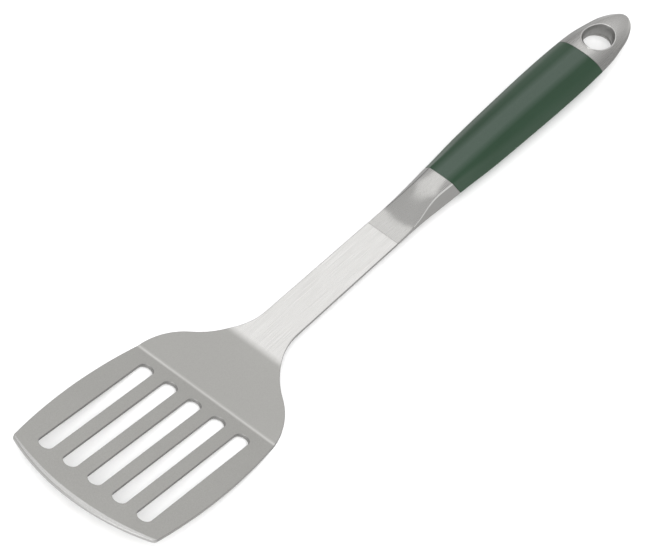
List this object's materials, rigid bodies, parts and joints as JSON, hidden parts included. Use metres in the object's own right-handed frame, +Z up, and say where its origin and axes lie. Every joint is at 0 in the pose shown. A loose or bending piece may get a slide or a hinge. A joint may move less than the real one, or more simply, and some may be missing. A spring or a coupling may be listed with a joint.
{
  "type": "grill spatula",
  "caption": "Slotted steel grill spatula with a long shank, a soft green grip between steel ends, and an oval hanging hole.",
  "frame": {"origin": "bottom centre of the bounding box, on the surface the tool lies on, midway along its length", "axes": "+X along the tool from the blade to the handle's end, +Y across it, +Z up from the surface; the blade's nose is raised"},
  "size_m": [0.4902, 0.0868, 0.0206],
  "materials": {
    "blade_steel": "fine satin, brushed lengthwise on the shank",
    "fitting_steel": "satin",
    "eyelet_steel": "bright rim, dull inside",
    "pin_steel": "plain",
    "core_nylon": "moulded",
    "grip_green": "soft matte with a fine grain"
  },
  "bodies": {
    "root": {"blade": "blade_steel", "ferrule_upper": "fitting_steel", "ferrule_lower": "fitting_steel", "handle_core": "core_nylon", "tang_pins": "pin_steel", "grip_sleeve": "grip_green", "cap_upper": "fitting_steel", "cap_lower": "fitting_steel", "hang_eyelet": "eyelet_steel"}
  },
  "joints": []
}
